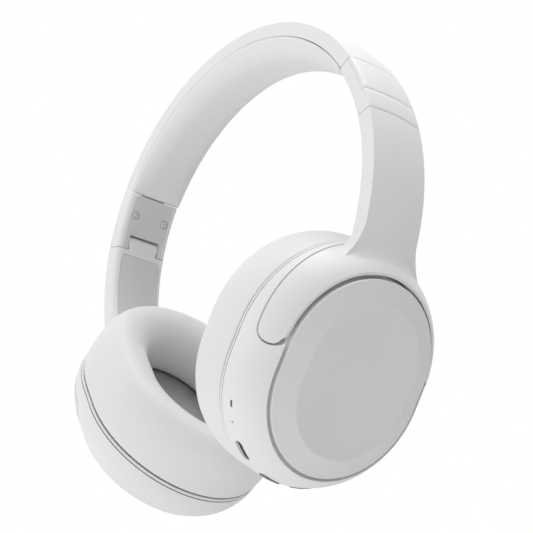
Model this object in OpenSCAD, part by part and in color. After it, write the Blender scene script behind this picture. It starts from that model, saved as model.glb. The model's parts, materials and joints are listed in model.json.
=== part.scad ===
// Over-ear headphones: sprung headband, sliding hinge blocks, yoke arms and padded ear cups.
// Frame: X to the wearer's left, Y to the back, Z up, origin on the floor below the crown.

/* [Headband] */
// Radius of the band's outer creases
band_r = 84; // [80:0.5:90]
// Width of the band, front to back
band_w = 25; // [22:0.5:30]
// Rise of the domed outer face above the creases
band_dome = 1; // [0.6:0.1:1.6]
// Depth of the band's section, crease to inner face
band_t = 7.3; // [6.9:0.1:8]
// Radius of the inner edges of hinge block and arm
edge_fillet = 2.4; // [1:0.1:3]
// Half angle of the headband, from crown to end
band_half = 59.5; // [56:0.5:62]
// Radial height of the shell's side walls
shell_h = 5.6; // [5.4:0.1:6]
// Wall of the shell's sides and roof
shell_wall = 1.8; // [1.5:0.1:2]
// Depth of the head pad below the shell, at the crown
pad_depth = 6.9; // [4:0.1:9]
// Thickness of the plate inside the head pad
pad_base_t = 1.1; // [0.8:0.1:1.3]
// Thickness of the steel spring strip
spring_t = 0.5; // [0.3:0.1:0.6]
// Width of the steel spring strip
spring_w = 16; // [10:1:20]

/* [Slider and hinge block] */
// Angle along the band taken by the hinge block
block_span = 18.5; // [17:0.5:20]
// Angle along the band taken by the block's outer cover
cover_span = 12.6; // [10:0.2:14]
// Thickness of the slider strip
strip_t = 0.7; // [0.5:0.1:0.8]
// Width of the slider strip
strip_w = 12; // [8:0.5:13]
// Length of slider strip held inside the headband
strip_in = 28; // [24:1:32]
// Length of slider strip held inside the hinge block
strip_out = 8; // [5:0.5:9]
// Depth of the tangent point of the strip inside the headband
strip_tangent = 9; // [6:0.5:10]
// Thickness of the inner cover plate of the block
plate_t = 1.4; // [1:0.1:1.8]
// Radius of the hinge pin
pin_r = 1.2; // [0.8:0.1:1.4]
// Radius of the yoke's hinge barrel
barrel_r = 3; // [2.6:0.1:3.2]
// Width of the yoke's hinge barrel
barrel_w = 15; // [11:0.5:17]
// Distance from the hinge pin to the lower end of the block
pin_rise = 3.4; // [3:0.1:4]
// Distance between the two cover screws
screw_gap = 15.2; // [13:0.2:17]
// Head radius of the cover screws
screw_head_r = 1.9; // [1.4:0.1:2.2]
// Shank radius of the cover screws
screw_r = 1; // [0.7:0.1:1.2]

/* [Ear cup] */
// Angle from the crown at which the arm meets the cup's upper edge
top_at = 112; // [110:0.5:114]
// Inset of the cup's upper edge from the band's creases
top_inset = 9.55; // [9:0.05:10]
// Distance of the rim's lowest edge from the middle plane
rim_x = 20.56; // [20:0.02:23]
// Half width of the cup, front to back
cup_r = 40; // [38.5:0.5:40.5]
// Half length of the straight stretch in the oval outline
oval_h = 4.5; // [3.5:0.5:5.5]
// Radius of the housing's rounded flank
flank_r = 22; // [21:0.5:23]
// Thickness of the rim ring between cushion and housing
ring_t = 1.2; // [0.9:0.1:1.6]
// Height of the housing above the rim ring
housing_h = 16.1; // [15.6:0.1:16.4]
// Wall of the housing
housing_wall = 2.2; // [1.8:0.1:2.4]
// Width of the housing's border round the outer cap
cap_inset = 8.8; // [8.6:0.1:10]
// Depth of the groove round the outer cap
groove_depth = 2.2; // [1:0.1:2.4]
// Height of the outer cap
cap_h = 3.6; // [3.2:0.1:4]
// Width of the cap's bevelled border
cap_bevel_w = 7.3; // [5:0.1:9]
// Height of the cap's bevelled border
cap_bevel_h = 2.7; // [1.5:0.1:2.7]
// Depth of the ear cushion
cushion_t = 24; // [20:0.5:25]
// Half width of the ear opening
ear_r = 22; // [20:0.5:24]
// Half width of the driver's opening in the baffle
driver_r = 18.5; // [15:0.5:19]

/* [Yoke] */
// Thickness of the fork that holds the cup
fork_t = 3.4; // [3:0.1:3.6]
// Radius of the fork's rounded ends
tab_r = 4.6; // [4.2:0.1:4.8]
// Height of the cup pivot above the cup's centre
pivot_y = 8; // [6:0.5:9]
// Distance of the cup pivot from the rim plane
pivot_a = 13; // [12.6:0.1:13.2]
// Lean of the fork's inner edge
fork_lean = 7; // [4:0.5:9]
// Radius of the cup's pivot pins
pivot_r = 1.2; // [0.9:0.1:1.3]
// Radius of the blend between arm and fork
flare_r = 24; // [16:0.5:28]
// Width left beside the arm's inner panel
panel_edge = 2.6; // [2:0.1:4]
// Thickness of the arm's inner panel
panel_t = 1.4; // [1:0.1:2]

/* [Controls on the left cup] */
// Distance of the controls from the rim plane
control_a = 6.5; // [5.6:0.1:7]
// Length of each button
button_l = 9; // [7:0.5:10]
// Width of each button
button_w = 2.8; // [2.2:0.1:3.2]
// Height of a button above the housing
button_proud = 0.3; // [0.2:0.05:0.4]
// Travel of a button
button_travel = 0.4; // [0.2:0.1:0.4]
// Length of the charging port's shell
port_l = 9; // [8.9:0.1:9.1]
// Width of the charging port's shell
port_w = 3.2; // [3.1:0.1:3.3]

/* [Inner parts] */
// Thickness of the baffle that holds the driver
baffle_t = 2; // [1.6:0.1:2.2]
// Radius of the driver's magnet
magnet_r = 12.5; // [10:0.5:13]
// Thickness of the cloth-covered plate over the driver
grille_t = 0.8; // [0.5:0.1:1]
// Thickness of the control board
pcb_t = 1.2; // [0.8:0.1:1.6]
// Length of the flat cell in the right cup
battery_l = 28; // [20:1:30]
// Width of the flat cell in the right cup
battery_w = 15; // [12:0.5:15]
// Thickness of the flat cell in the right cup
battery_t = 5; // [3:0.5:5]

/* [Fits] */
// Visible gap at parting lines
seam = 0.3; // [0.2:0.05:0.4]
// Gap between the fork and the cup
fork_gap = 0.65; // [0.5:0.05:0.7]
// Gap between the fork and the cap
cap_gap = 1.2; // [1.1:0.05:1.5]
// Running clearance of the pins
run_fit = 0.05; // [0.02:0.01:0.1]
// Clearance of pieces that are pressed or clipped together
seat_fit = 0.02; // [0.01:0.01:0.05]
// Clearance beside sliding pieces and buttons
slide_fit = 0.3; // [0.25:0.05:0.4]

/* [Hidden] */
$fn = 96;
eps = 0.01;
far = 200;
half_w = band_w / 2;
band_in = band_r - band_t;
band_top = band_r + band_dome;
dome_r = (half_w * half_w + band_dome * band_dome) / (2 * band_dome);
shell_in = band_r - shell_h;
roof_rise = 0.3;
roof_r = band_r + roof_rise - shell_wall;
tight_fillet = 0.4;
spring_half = 50;
spring_gap = 0.1;
pad_base_in = 3;

// Cup heights are measured from the rim plane, outward
cap_r = cup_r - cap_inset;
cup_l = cup_r + oval_h;
flank_c = cup_r - flank_r;
flank_a = ring_t;
housing_a = ring_t + seam;
housing_top = housing_a + housing_h;
cap_seat_r = cap_r + cap_gap - fork_gap;
baffle_a = ring_t;
baffle_r = cup_r - housing_wall - slide_fit;
ring_in = cup_r - 7;
ring_edge = 0.3;
shelf_a = 8.6;
shelf_slope = 3;
boss_wall = 1.8;
boss_h = 9;
groove_wall = 1.5;

// The cups hang from the arms' ends and lean in until their lowest edges reach their place
top_r = band_r - top_inset;
cup_tilt = asin((top_r * sin(top_at) - rim_x) / (2 * cup_l));
cup_x = top_r * sin(top_at) - cup_l * sin(cup_tilt);
cup_drop = cup_l * cos(cup_tilt) - top_r * cos(top_at);

// The rounded flank sets the lowest point, which rests on the floor
cup_z = (flank_c + oval_h) * cos(cup_tilt) + flank_a * sin(cup_tilt) + flank_r;
band_z = cup_z + cup_drop;

// Angles along the band are measured from the crown
gap_deg = seam / band_r * 180 / PI;
block_a0 = band_half + gap_deg;
block_a1 = band_half + block_span;
arm_a0 = block_a1 + gap_deg;
arm_a1 = 118;
flare_a0 = 96;
flare_sink = 3.2;
flare_bite = 0.2;
panel_a0 = arm_a0 + 1.8;
panel_a1 = 103;
panel_corner = 2;
cover_a1 = band_half + cover_span;
barrel_gap = 0.4;
pin_l = barrel_w + 2 * slide_fit + 5;
barrel_sink = 0.1;
hinge_r = band_in + barrel_r + barrel_sink;
hinge_a = block_a1 - pin_rise / hinge_r * 180 / PI;
notch_a0 = hinge_a - (barrel_r + barrel_gap) / hinge_r * 180 / PI;
root_a0 = hinge_a + tight_fillet / hinge_r * 180 / PI;
plate_w = band_w - 2 * panel_edge;
screw_a = (block_a0 + notch_a0) / 2;
screw_l = 5;
screw_head_h = 0.9;
screw_cross = 0.4;

// The cup's pivot pins stop under the fork's skin
fork_skin = 0.6;
pivot_end = flank_c + sqrt(flank_r * flank_r - pow(pivot_a + pivot_r - flank_a, 2)) - fork_skin;
pivot_l = 8;

// The slider strip runs straight, tangent to the band's arc near its end
strip_sink = 0.2;
strip_r = shell_in + spring_t + 2 * slide_fit - strip_sink;
strip_a = band_half - strip_tangent / strip_r * 180 / PI;
guide_a0 = 51;
guide_inset = 0.2;
guide_floor = 1;

// Places of the controls round the lower rim, in degrees from the top towards the front
led_at = 114;
mic_at = 124;
port_at = 141.5;
button_at = 167;
rocker_at = 188;
control_r = flank_c + sqrt(flank_r * flank_r - (control_a - flank_a) * (control_a - flank_a));
inner_flank = flank_r - housing_wall;
function inner_wall(d) = flank_c + sqrt(inner_flank * inner_flank - pow(control_a + d - flank_a, 2));
control_d = 8;
pcb_a = control_a + port_w / 2;
pcb_inset = 3.6;
inner_y = magnet_r + 2.5;
port_depth = 7;
port_wall = 0.35;
port_sink = 0.5;
tongue_l = 6.6;
tongue_t = 0.7;
flange_t = 0.8;
flange_l = 1.6;
flange_w = 1.2;
flange_gap = 0.55;
flange_x = inner_wall((button_w + flange_w) / 2) - flange_gap;
rocker_stud_r = 0.5;
rocker_stud_l = button_w + flange_w + 0.6;
led_l = 2.6;
led_w = 0.9;
led_depth = 3;
led_sink = 0.05;
mic_hole_r = 0.5;
mic_r = 1.6;
mic_t = 1.4;
mic_gap = 0.2;

shell_color = "#f4f4f2";
cap_color = "#ececea";
soft_color = "#f1f0ee";
steel_color = "#b9bcc0";
dark_color = "#4a4c50";
board_color = "#2f6b46";
lens_color = "#dfe6ea";
cell_color = "#7f8890";

sides = ["left", "right"];
per_side = ["slider_strip", "hinge_block", "hinge_cover", "hinge_plate", "hinge_screws", "hinge_pin",
    "yoke", "arm_panel", "pivot_pins", "cup_housing", "cap", "rim_ring", "baffle", "driver", "diaphragm",
    "grille", "ear_cushion", "band_guide"];

// Points on an arc, for rounded corners in outlines
function arc(c, r, a0, a1, n = 6) =
    [for (i = [0 : n]) c + r * [cos(a0 + (a1 - a0) * i / n), sin(a0 + (a1 - a0) * i / n)]];

// One signed power, for the soft sections
function spow(v, p) = sign(v) * pow(abs(v), p);

// Place a shape drawn in the band's plane: first axis across, second axis up
module at_band() {
    translate([0, 0, band_z]) rotate([90, 0, 0]) children();
}

// Place a shape in the cup's own frame: X to the back, Y up the cup, Z outward
module at_cup() {
    translate([cup_x, 0, cup_z]) rotate([0, cup_tilt, 0]) rotate([90, 0, 90]) children();
}

// The right side mirrors the left one
module on_side(s) {
    if (s == "left") children();
    else mirror([1, 0, 0]) children();
}

// Sweep a section along the band, between two angles from the crown on the left side
module along_band(a0, a1) {
    at_band() rotate_extrude(angle = a1 - a0, start = 90 - a1) children();
}

// Frame of the slider strip: X along its way out of the headband, Y away from the head
module at_strip() {
    at_band() rotate(90 - strip_a) translate([strip_r, 0, 0]) rotate(-90) children();
}

// Band's section with rounded inner corners and a domed outer face
module band_section(r_in, f = edge_fillet) {
    intersection() {
        polygon(concat([[band_top + 1, -half_w], [band_top + 1, half_w]],
            arc([r_in + f, half_w - f], f, 90, 180),
            arc([r_in + f, f - half_w], f, 180, 270)));
        translate([band_top - dome_r, 0]) circle(r = dome_r, $fn = 360);
    }
}

// Rectangle in the band's section, centred across the band
module strip_section(r0, r1, w) {
    translate([r0, -w / 2]) square([r1 - r0, w]);
}

// Solid with the cup's oval outline, from a section given as distance and height
module oval_solid() {
    for (s = [0, 1]) mirror([0, s, 0]) translate([0, oval_h, 0]) rotate_extrude(angle = 180) children();
    rotate([90, 0, 0]) linear_extrude(2 * oval_h, center = true) {
        children();
        mirror([1, 0]) children();
    }
}

// Flat oval plate between two heights
module oval_plate(r, a0, a1) {
    oval_solid() translate([0, a0]) square([r, a1 - a0]);
}

// Section bounded by the rounded flank, filled to the middle
module flank_section(r, a0, a1) {
    intersection() {
        translate([0, a0]) square([far, a1 - a0]);
        union() {
            translate([flank_c, flank_a]) circle(r = r);
            translate([0, -far / 2]) square([flank_c, far]);
        }
    }
}

// Side region of the fork: a rounded end about the cup's pivot and a leaning edge
module fork_region(gap) {
    rotate([0, -90, 0]) linear_extrude(far, center = true)
        translate([pivot_a, pivot_y]) rotate(fork_lean) {
            circle(r = tab_r + gap);
            translate([-tab_r - gap, 0]) square([far / 4, far / 4]);
        }
}

// Section of the fork: it follows the flank and stays clear of the cap
module fork_section(gap) {
    difference() {
        flank_section(flank_r + 10 * gap, flank_a, housing_top - fork_gap + 4 * gap);
        translate([flank_c, flank_a]) circle(r = flank_r - fork_t - gap);
        translate([-eps, -far / 2]) square([cap_r + cap_gap - gap, far]);
    }
}

// Upper arch of the fork, with straight legs down to its ends
module fork_arch(gap) {
    intersection() {
        union() {
            translate([0, oval_h, 0]) rotate_extrude(angle = 180) fork_section(gap);
            translate([0, oval_h, 0]) rotate([90, 0, 0]) linear_extrude(far / 4) {
                fork_section(gap);
                mirror([1, 0]) fork_section(gap);
            }
        }
        fork_region(gap);
    }
}

// Space that the arm leaves free for the cup
module cup_keepout() {
    oval_plate(cup_r + fork_gap, -cushion_t - 2, flank_a);
    oval_plate(cap_r + cap_gap, flank_a, far / 4);
    oval_solid() flank_section(flank_r - fork_t / 2, flank_a - eps, housing_top);
    difference() {
        oval_solid() flank_section(flank_r + fork_gap, flank_a - eps, housing_top);
        fork_region(0);
    }
}

// Blend between the arm and the fork, seen from outside
module flare_outline() {
    ring_r = cup_r - flare_sink;
    reach = half_w - flare_bite + flare_r;
    rise = sqrt(pow(ring_r + flare_r, 2) - reach * reach);
    tangent = reach * ring_r / (ring_r + flare_r);
    difference() {
        translate([-tangent, oval_h + cup_r / 2]) square([2 * tangent, rise - cup_r / 2]);
        for (s = [-1, 1]) translate([s * reach, oval_h + rise]) circle(r = flare_r);
    }
}

// Rounded slot shape: length along Y, width along Z, depth along X
module pill(l, w, x0, x1) {
    translate([x0, 0, 0]) rotate([0, 90, 0]) {
        for (s = [-1, 1]) translate([0, s * (l - w) / 2, 0]) cylinder(r = w / 2, h = x1 - x0);
        translate([-w / 2, -(l - w) / 2, 0]) cube([w, l - w, x1 - x0]);
    }
}

// Frame of a control on the lower rim: X points out of the cup
module at_rim(angle) {
    translate([0, -oval_h, control_a]) rotate(90 + angle) children();
}

// Frame of a screw in the hinge block: Z points at the head, towards the wearer
module at_screws() {
    for (s = [-1, 1])
        at_band() rotate(90 - screw_a) translate([band_in, 0, s * screw_gap / 2])
            rotate([0, -90, 0]) children();
}

// Axis of the hinge pin, along Y
module at_hinge() {
    at_band() rotate(90 - hinge_a) translate([hinge_r, 0, 0]) children();
}

// Outer shell of the headband, a channel open towards the head
module headband_shell() {
    color(shell_color) along_band(-band_half, band_half) difference() {
        band_section(shell_in, tight_fillet);
        strip_section(shell_in - 1, roof_r, band_w - 2 * shell_wall);
    }
}

// Head pad: a crowned strip that thins towards both ends and holds the plate inside it
pad_stations = 44;
pad_half = band_half - gap_deg;
pad_top = shell_in - seam;
pad_lip = 1;
pad_end_depth = 1.5;
pad_slot = 0.1;
pad_skin = 0.3;
pad_arc = 12;
function pad_low(u) = pad_top - pad_end_depth - (pad_depth - pad_end_depth) * pow(1 - pow(abs(u), 2.4), 0.8);
function pad_ring(u) =
    let (r_low = pad_low(u), h = pad_top - r_low)
    let (slot_r = max(pad_top - pad_base_t - pad_slot, r_low + pad_skin))
    concat(
        [for (i = [0 : pad_arc]) let (t = 180 * i / pad_arc)
            [pad_top - h * pow(sin(t), 0.55), half_w * spow(cos(t), 0.5)]],
        [[pad_top, pad_lip - half_w], [slot_r, pad_lip - half_w],
         [slot_r, half_w - pad_lip], [pad_top, half_w - pad_lip]]);
// Triangles of one end of the pad: fans about the two corners of its slot
function pad_end() = let (h = pad_arc / 2, a = pad_arc + 3, b = pad_arc + 2)
    concat([for (i = [0 : h - 1]) [a, i, i + 1]], [for (i = [h : pad_arc - 1]) [b, i, i + 1]],
        [[a, h, b], [b, pad_arc, pad_arc + 1], [a, pad_arc + 4, 0]]);
function pad_point(u, p) = let (a = 90 - u * pad_half) [p[0] * cos(a), p[0] * sin(a), p[1]];
module headband_pad() {
    rings = [for (k = [0 : pad_stations]) let (u = -1 + 2 * k / pad_stations)
        [for (p = pad_ring(u)) pad_point(u, p)]];
    m = len(rings[0]);
    points = [for (ring = rings) for (p = ring) p];
    sides_f = [for (k = [0 : pad_stations - 1]) for (i = [0 : m - 1]) let (j = (i + 1) % m)
        each [[k * m + i, (k + 1) * m + i, (k + 1) * m + j], [k * m + i, (k + 1) * m + j, k * m + j]]];
    last = [for (f = pad_end()) [for (i = [2 : -1 : 0]) pad_stations * m + f[i]]];
    color(soft_color) at_band() polyhedron(points, concat(sides_f, pad_end(), last));
}

// Plate that carries the head pad
module pad_base() {
    color(dark_color) along_band(pad_base_in - pad_half, pad_half - pad_base_in)
        strip_section(pad_top - pad_base_t, pad_top, band_w - 2 * pad_lip - 2 * slide_fit);
}

// Spring steel strip that gives the headband its grip
module headband_spring() {
    r0 = shell_in + spring_gap;
    color(steel_color) along_band(-spring_half, spring_half) strip_section(r0, r0 + spring_t, spring_w);
}

// Insert that guides the slider strip at the end of the headband
module band_guide() {
    color(dark_color) difference() {
        along_band(guide_a0, band_half - guide_inset)
            strip_section(strip_r - guide_floor, roof_r - seat_fit, band_w - 2 * shell_wall - 2 * seat_fit);
        at_strip() translate([-strip_in, -slide_fit, -strip_w / 2 - slide_fit])
            cube([2 * strip_in, strip_t + 2 * slide_fit, strip_w + 2 * slide_fit]);
    }
}

// Steel slider strip that joins the hinge block to the headband
module slider_strip() {
    color(steel_color) at_strip() translate([strip_tangent - strip_in, 0, -strip_w / 2])
        cube([strip_in + strip_out, strip_t, strip_w]);
}

// Hinge block below the headband, with ears for the hinge pin
module hinge_block() {
    strip_l = strip_tangent + strip_out + seat_fit;
    color(shell_color) difference() {
        along_band(block_a0, block_a1) band_section(band_in);
        along_band(block_a0 - 1, cover_a1) strip_section(roof_r, far, far);
        along_band(block_a0 - 1, block_a1 + 1) strip_section(0, band_in + plate_t, plate_w);
        along_band(notch_a0, block_a1 + 1)
            strip_section(0, hinge_r + barrel_r + barrel_gap, barrel_w + 2 * slide_fit);
        at_strip() translate([-strip_in, -seat_fit, -strip_w / 2 - seat_fit])
            cube([strip_in + strip_l, strip_t + 2 * seat_fit, strip_w + 2 * seat_fit]);
        at_hinge() cylinder(r = pin_r + seat_fit, h = pin_l + 2 * seat_fit, center = true);
        at_screws() translate([0, 0, -screw_l - 1]) cylinder(r = screw_r + seat_fit, h = screw_l + 2);
    }
}

// Outer cover of the hinge block
module hinge_cover() {
    color(cap_color) along_band(block_a0, cover_a1 - gap_deg) difference() {
        band_section(band_in);
        strip_section(0, roof_r + seat_fit, far);
    }
}

// Inner cover plate of the hinge block, with two countersunk holes and a notch for the barrel
module hinge_plate() {
    color(cap_color) difference() {
        along_band(block_a0, block_a1) intersection() {
            band_section(band_in);
            strip_section(0, band_in + plate_t - seat_fit, plate_w - 2 * seat_fit);
        }
        along_band(notch_a0, block_a1 + 1) strip_section(0, far, barrel_w + 2 * slide_fit);
        at_screws() translate([0, 0, -plate_t - 1]) cylinder(r = screw_r + seat_fit, h = far);
        at_screws() translate([0, 0, -screw_head_h]) cylinder(r = screw_head_r + seat_fit, h = far);
    }
}

// The two cross-head screws of the inner cover plate
module hinge_screws() {
    color(steel_color) at_screws() difference() {
        union() {
            translate([0, 0, -screw_l - screw_head_h / 2]) cylinder(r = screw_r, h = screw_l);
            translate([0, 0, seat_fit - screw_head_h])
                cylinder(r = screw_head_r, h = screw_head_h - seat_fit);
        }
        for (t = [0, 90]) rotate(t) translate([-screw_head_r * 0.6, -screw_cross / 2, -screw_cross])
            cube([screw_head_r * 1.2, screw_cross, 1]);
    }
}

// Steel pin of the folding hinge
module hinge_pin() {
    color(steel_color) at_hinge() cylinder(r = pin_r, h = pin_l, center = true);
}

// Yoke: hinge barrel, curved arm and the fork round the upper half of the cup
module yoke() {
    flare_w = 2 * (half_w + flare_r);
    root_w = barrel_w - 2 * tight_fillet;
    flare_in = band_in + edge_fillet + flare_bite;
    color(shell_color) difference() {
        union() {
            at_cup() fork_arch(0);
            difference() {
                union() {
                    along_band(arm_a0, arm_a1) band_section(band_in);
                    intersection() {
                        along_band(flare_a0, arm_a1)
                            strip_section(flare_in, band_r - flare_bite, flare_w);
                        at_cup() linear_extrude(far / 4) flare_outline();
                    }
                }
                at_cup() cup_keepout();
            }
            at_hinge() cylinder(r = barrel_r, h = barrel_w, center = true);
            along_band(root_a0, arm_a0 + 1)
                strip_section(hinge_r - barrel_r * 0.97, hinge_r + barrel_r * 0.9, root_w);
        }
        at_hinge() cylinder(r = pin_r + run_fit, h = far, center = true);
        arm_recess(slide_fit / 2);
        at_cup() pivot_bores(pivot_r + seat_fit, pivot_end + seat_fit);
    }
}

// Recess and panel on the inner face of the arm, with rounded corners
module arm_recess(gap) {
    mid = (panel_a0 + panel_a1) / 2;
    half_l = band_in * sin((panel_a1 - panel_a0) / 2) + gap;
    half_p = half_w - panel_edge + gap;
    corner = panel_corner + gap;
    intersection() {
        along_band(panel_a0 - 1, panel_a1 + 1) strip_section(band_in - 1, band_in + panel_t + gap / 2, band_w);
        at_band() rotate(90 - mid) rotate([0, 90, 0]) linear_extrude(far) {
            square([2 * (half_p - corner), 2 * half_l], center = true);
            square([2 * half_p, 2 * (half_l - corner)], center = true);
            for (x = [-1, 1], y = [-1, 1]) translate([x * (half_p - corner), y * (half_l - corner)])
                circle(r = corner);
        }
    }
}
module arm_panel() {
    color(cap_color) intersection() {
        arm_recess(0);
        along_band(panel_a0 - 2, panel_a1 + 2) band_section(band_in);
    }
}

// Bores and pins of the cup's pivot, on both sides of the cup, blind under the fork's skin
module pivot_bores(r, reach) {
    translate([0, pivot_y, pivot_a]) rotate([0, 90, 0]) cylinder(r = r, h = 2 * reach, center = true);
}
module pivot_pins() {
    color(steel_color) at_cup() for (s = [-1, 1])
        translate([s * pivot_end, pivot_y, pivot_a]) rotate([0, -90 * s, 0])
            cylinder(r = pivot_r, h = pivot_l);
}

// Hollow of the housing: shallow above for the fork, deeper below for the controls
module housing_hollow() {
    wall_r = cap_seat_r - housing_wall;
    seat_r = baffle_r + slide_fit;
    floor_a = baffle_a + baffle_t;
    roof_a = housing_top - housing_wall;
    oval_solid() polygon([[0, 0], [seat_r, 0], [seat_r, floor_a], [wall_r + shelf_slope, floor_a],
        [wall_r, shelf_a], [wall_r, roof_a], [0, roof_a]]);
    intersection() {
        oval_solid() flank_section(inner_flank, floor_a, housing_top - groove_depth - groove_wall);
        translate([-far / 2, -far - pivot_y, 0]) cube([far, far, far]);
    }
}

// Groove round the outer cap, which stands over its inner edge
module cap_groove() {
    inner_r = cap_r - seam;
    oval_solid() translate([inner_r, housing_top - groove_depth]) square([cap_r + cap_gap - inner_r, far]);
}

// Housing of a cup, with the recess that the fork lies in
module plain_housing() {
    difference() {
        oval_solid() flank_section(flank_r, housing_a, housing_top);
        fork_arch(fork_gap);
        cap_groove();
        difference() {
            housing_hollow();
            for (s = [-1, 1]) translate([s * cap_seat_r, pivot_y, pivot_a]) rotate([0, -90 * s, 0])
                cylinder(r = pivot_r + boss_wall, h = boss_h);
        }
        pivot_bores(pivot_r + run_fit, cup_r);
    }
}

// Slot through the housing's wall for one control
module control_slot(angle, l, w, gap) {
    at_rim(angle) pill(l + 2 * gap, w + 2 * gap, control_r - control_d, control_r + 2);
}

module left_cup_housing() {
    color(shell_color) at_cup() difference() {
        plain_housing();
        control_slot(led_at, led_l, led_w, seat_fit);
        at_rim(mic_at) rotate([0, 90, 0]) cylinder(r = mic_hole_r, h = far);
        control_slot(port_at, port_l, port_w, seat_fit);
        for (t = [button_at, rocker_at]) control_slot(t, button_l, button_w, slide_fit);
    }
}

module right_cup_housing() {
    color(shell_color) on_side("right") at_cup() plain_housing();
}

// Outer cap: a short wall, a bevelled border and a bare flat middle
module cap() {
    edge = 0.5;
    flat_r = cap_r - edge - cap_bevel_w;
    wall_top = housing_top + cap_h - cap_bevel_h;
    color(cap_color) at_cup() oval_solid() polygon(concat([[0, housing_top], [cap_r, housing_top]],
        arc([cap_r - edge, wall_top - edge], edge, 0, 80),
        [[flat_r, housing_top + cap_h], [0, housing_top + cap_h]]));
}

// Ring that carries the ear cushion on the housing's rim
module rim_ring() {
    color(shell_color) at_cup() oval_solid() polygon(concat([[ring_in, 0]],
        arc([cup_r - ring_edge, ring_edge], ring_edge, -90, 0, 3),
        arc([cup_r - ring_edge, ring_t - ring_edge], ring_edge, 0, 90, 3), [[ring_in, ring_t]]));
}

// Baffle that closes the housing and holds the driver
module baffle() {
    color(dark_color) at_cup() difference() {
        oval_plate(baffle_r, baffle_a, baffle_a + baffle_t);
        cylinder(r = driver_r, h = far, center = true);
    }
}

// Driver: flange, basket and magnet
module driver() {
    back = baffle_a + baffle_t;
    flange = driver_r + 1.8;
    basket_h = 5;
    driver_h = 7.6;
    color(steel_color) at_cup() rotate_extrude() polygon([[0, back + basket_h - 0.5], [driver_r - 1, back],
        [flange, back], [flange, back + 1.4], [magnet_r + 1, back + basket_h], [magnet_r, back + basket_h],
        [magnet_r, back + driver_h], [0, back + driver_h]]);
}

// Diaphragm: a thin dome with a rolled edge, in the driver's opening
module diaphragm() {
    edge = driver_r - slide_fit;
    roll = edge - 1;
    dome = edge * 0.55;
    film = 0.2;
    rise = 1.3;
    n = 8;
    base = baffle_a + baffle_t - film;
    profile = concat([for (i = [0 : n]) [dome * i / n, base - rise * (1 - i * i / n / n)]],
        [for (i = [1 : n]) [dome + (roll - dome) * i / n, base - rise * 0.6 * sin(180 * i / n)]],
        [[edge, base]]);
    m = len(profile) - 1;
    color(soft_color) at_cup() rotate_extrude()
        polygon(concat(profile, [for (i = [m : -1 : 0]) profile[i] + [0, film]]));
}

// Cloth-covered plate over the driver, seen through the ear opening
module grille() {
    color(dark_color) at_cup() oval_plate(ring_in - slide_fit, baffle_a - grille_t, baffle_a);
}

// Ear cushion: a crowned ring with drawn-in sides, flat at its seat
module ear_cushion() {
    mid_r = (cup_r + ear_r) / 2;
    half_r = (cup_r - ear_r) / 2;
    half_a = (cushion_t - seam) / 2;
    square_power = 0.34;
    crown_power = 0.8;
    n = 40;
    color(soft_color) at_cup() oval_solid() polygon([for (i = [0 : n - 1])
        let (t = 360 * i / n, p = sin(t) > 0 ? square_power : crown_power)
        [mid_r + half_r * spow(cos(t), p), -seam - half_a + half_a * spow(sin(t), p)]]);
}

// Board with the charging port and the switches, in the left cup
module control_board() {
    color(board_color) at_cup() intersection() {
        oval_plate(cup_r - housing_wall - pcb_inset, pcb_a, pcb_a + pcb_t);
        translate([-far / 2, -far - inner_y, 0]) cube([far, far, far]);
    }
}

// Charging port: a pill-shaped shell with its tongue
module usb_port() {
    x0 = control_r - port_depth;
    color(steel_color) at_cup() at_rim(port_at) {
        difference() {
            pill(port_l, port_w, x0 - port_sink, control_r - port_sink);
            pill(port_l - 2 * port_wall, port_w - 2 * port_wall, x0 + port_wall, control_r + 1);
        }
        translate([x0, -tongue_l / 2, -tongue_t / 2]) cube([port_depth - 4 * port_wall, tongue_l, tongue_t]);
    }
}

// A rounded button that follows the flank, with a flange that keeps it in
module push_button(angle) {
    color(cap_color) at_cup() {
        intersection() {
            at_rim(angle) pill(button_l, button_w, flange_x - flange_t / 2, control_r + 2);
            oval_solid() flank_section(flank_r + button_proud, 0, housing_top);
        }
        at_rim(angle) pill(button_l + flange_l, button_w + flange_w, flange_x - flange_t, flange_x);
    }
}
module power_button() {
    push_button(button_at);
}
module volume_rocker() {
    push_button(rocker_at);
    color(cap_color) at_cup() at_rim(rocker_at) translate([flange_x - flange_t / 2, 0, 0])
        cylinder(r = rocker_stud_r, h = rocker_stud_l, center = true);
}

// Light pipe of the status light
module led_lens() {
    color(lens_color) at_cup() at_rim(led_at) pill(led_l, led_w, control_r - led_depth, control_r - led_sink);
}

// Microphone capsule behind its pinhole
module microphone() {
    x0 = inner_wall(mic_r) - mic_gap - mic_t;
    color(dark_color) at_cup() at_rim(mic_at) translate([x0, 0, 0])
        rotate([0, 90, 0]) cylinder(r = mic_r, h = mic_t);
}

// Flat cell in the right cup
module battery() {
    color(cell_color) on_side("right") at_cup()
        translate([-battery_l / 2, -inner_y - battery_w, housing_top - housing_wall - battery_t])
            cube([battery_l, battery_w, battery_t]);
}

headband_shell();
headband_pad();
pad_base();
headband_spring();
for (s = sides) {
    on_side(s) band_guide();
    on_side(s) slider_strip();
    on_side(s) hinge_block();
    on_side(s) hinge_cover();
    on_side(s) hinge_plate();
    on_side(s) hinge_screws();
    on_side(s) hinge_pin();
    on_side(s) yoke();
    on_side(s) arm_panel();
    on_side(s) pivot_pins();
    on_side(s) cap();
    on_side(s) rim_ring();
    on_side(s) baffle();
    on_side(s) driver();
    on_side(s) diaphragm();
    on_side(s) grille();
    on_side(s) ear_cushion();
}
left_cup_housing();
right_cup_housing();
control_board();
usb_port();
power_button();
volume_rocker();
led_lens();
microphone();
battery();
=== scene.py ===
"""Looks of the white over-ear headphones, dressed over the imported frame."""
import json
import math

import bmesh
import bpy
import numpy as np
from bpy.props import FloatProperty, FloatVectorProperty, IntProperty, PointerProperty, StringProperty
from mathutils import Matrix, Vector
from mathutils.bvhtree import BVHTree


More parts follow.
